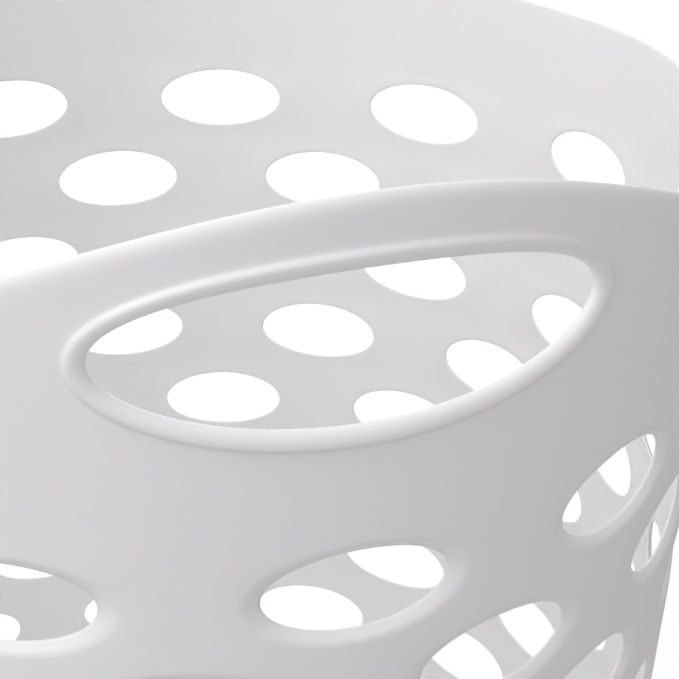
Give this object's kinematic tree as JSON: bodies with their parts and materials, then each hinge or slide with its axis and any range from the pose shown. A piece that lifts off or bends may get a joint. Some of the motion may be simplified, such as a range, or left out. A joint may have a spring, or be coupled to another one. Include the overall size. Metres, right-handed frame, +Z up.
{
  "type": "laundry hamper",
  "caption": "Tapered round laundry hamper moulded with staggered rows of oval holes, a wavy rim with two lipped hand openings, and a saddle-shaped lid hinged on one low side.",
  "frame": {"origin": "middle of the base's flat underside, on the floor", "axes": "+Z up; the hand openings are at -Y and +Y; the lid hinges at -X and closes towards +X"},
  "size_m": [0.5667, 0.4702, 0.8995],
  "materials": {
    "tub_plastic": "white polypropylene, satin moulded surface",
    "lid_plastic": "white polypropylene, satin moulded surface",
    "pin_plastic": "off-white nylon, smooth"
  },
  "bodies": {
    "tub_body": {"tub": "tub_plastic", "hinge_pin_near": "pin_plastic", "hinge_pin_far": "pin_plastic"},
    "lid_body": {"lid": "lid_plastic"}
  },
  "joints": [
    {"name": "lid_hinge", "type": "hinge", "parent": "tub_body", "child": "lid_body", "pos_m": [-0.22624, 0, 0.45695], "axis": [0, -1, 0], "range_deg": [-105, 0]}
  ]
}
